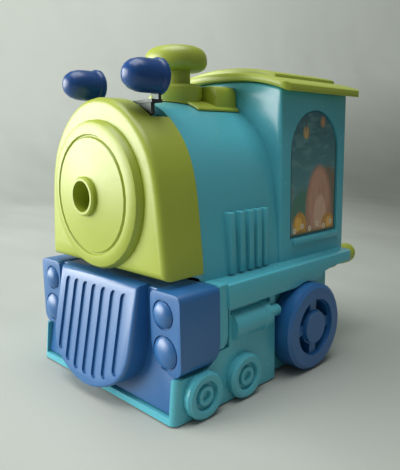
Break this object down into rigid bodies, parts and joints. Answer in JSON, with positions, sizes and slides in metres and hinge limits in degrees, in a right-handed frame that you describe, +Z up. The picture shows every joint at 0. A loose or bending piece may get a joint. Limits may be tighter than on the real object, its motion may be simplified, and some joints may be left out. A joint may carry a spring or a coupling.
{
  "type": "pencil sharpener",
  "caption": "Train-shaped desktop pencil sharpener: sliding sprung face with squeeze levers, geared cutter turned by a rear crank, shavings drawer in the nose, turning rear wheels.",
  "frame": {"origin": "on the ground under the middle of the train's overall box", "axes": "-Y is the way the train faces, +X is the train's left-hand side, +Z is up"},
  "size_m": [0.087, 0.1272, 0.1138],
  "materials": {
    "green_plastic": "gloss",
    "teal_plastic": "gloss",
    "blue_plastic": "gloss",
    "cap_rubber": "satin",
    "steel": "satin",
    "cutter_steel": "satin",
    "grey_plastic": "matte",
    "foot_rubber": "matte",
    "printed_sticker": "satin"
  },
  "bodies": {
    "chassis": {"base": "teal_plastic", "upper_shell": "teal_plastic", "rear_cover": "teal_plastic", "front_bulkhead": "teal_plastic", "roof": "green_plastic", "chimney": "green_plastic", "sticker_left": "printed_sticker", "sticker_right": "printed_sticker", "ring_gear": "grey_plastic", "gear_spacer": "grey_plastic", "pencil_guide": "grey_plastic", "shaft_bush": "grey_plastic", "base_screw_left": "steel", "base_screw_right": "steel", "cover_screw_left": "steel", "cover_screw_right": "steel", "foot_1": "foot_rubber", "foot_2": "foot_rubber", "foot_3": "foot_rubber", "foot_4": "foot_rubber", "stub_axle_left": "steel", "stub_axle_right": "steel", "return_spring_left": "steel", "return_spring_right": "steel"},
    "face_carriage": {"face_hood": "green_plastic", "jaw_plate": "steel", "guide_rod_left": "steel", "guide_rod_right": "steel", "pivot_pin_left": "steel", "pivot_pin_right": "steel", "lever_spring": "steel"},
    "lever_left_body": {"lever_left": "steel", "lever_cap_left": "cap_rubber", "jaw_pad_left": "steel"},
    "lever_right_body": {"lever_right": "steel", "lever_cap_right": "cap_rubber", "jaw_pad_right": "steel"},
    "drawer": {"drawer_front": "blue_plastic", "drawer_tray": "blue_plastic"},
    "wheel_left": {"rear_wheel_left": "blue_plastic"},
    "wheel_right": {"rear_wheel_right": "blue_plastic"},
    "crank": {"cutter_carrier": "grey_plastic", "crank_arm": "green_plastic", "crank_screw": "steel", "knob_pin": "steel"},
    "knob": {"crank_knob": "green_plastic"},
    "cutter_body": {"cutter": "cutter_steel", "cutter_axle": "steel", "cutter_pinion": "grey_plastic"}
  },
  "joints": [
    {"name": "face_pull", "type": "slide", "parent": "chassis", "child": "face_carriage", "axis": [0, -1, 0], "range_m": [0, 0.038], "stiffness_N_per_m": 60, "springref_m": -0.02, "deforming": ["return_spring_left", "return_spring_right"]},
    {"name": "lever_right_squeeze", "type": "hinge", "parent": "face_carriage", "child": "lever_right_body", "pos_m": [-0.009, -0.04482, 0.077], "axis": [0, 1, 0], "range_deg": [0, 11], "stiffness_Nm_per_rad": 0.12, "springref_deg": -20.05, "deforming": ["lever_spring"]},
    {"name": "lever_left_squeeze", "type": "hinge", "parent": "face_carriage", "child": "lever_left_body", "pos_m": [0.009, -0.04482, 0.077], "axis": [0, -1, 0], "range_deg": [0, 11], "stiffness_Nm_per_rad": 0.12, "springref_deg": -20.05},
    {"name": "drawer_pull", "type": "slide", "parent": "chassis", "child": "drawer", "axis": [0, -1, 0], "range_m": [0, 0.06]},
    {"name": "wheel_left_spin", "type": "hinge", "parent": "chassis", "child": "wheel_left", "pos_m": [0.039, 0.00488, 0.0157], "axis": [1, 0, 0], "continuous": true},
    {"name": "wheel_right_spin", "type": "hinge", "parent": "chassis", "child": "wheel_right", "pos_m": [-0.039, 0.00488, 0.0157], "axis": [1, 0, 0], "continuous": true},
    {"name": "crank_turn", "type": "hinge", "parent": "chassis", "child": "crank", "pos_m": [0, 0.04468, 0.0646], "axis": [0, 1, 0], "continuous": true},
    {"name": "knob_spin", "type": "hinge", "parent": "crank", "child": "knob", "pos_m": [0.0225, 0.05568, 0.0312], "axis": [0, 1, 0], "continuous": true},
    {"name": "cutter_spin", "type": "hinge", "parent": "crank", "child": "cutter_body", "pos_m": [0, -0.01032, 0.0536], "axis": [0, 1, 0], "continuous": true}
  ],
  "couplings": [
    {"joint": "lever_left_squeeze", "follows": "lever_right_squeeze", "ratio": 1},
    {"joint": "cutter_spin", "follows": "crank_turn", "ratio": -3.2}
  ]
}
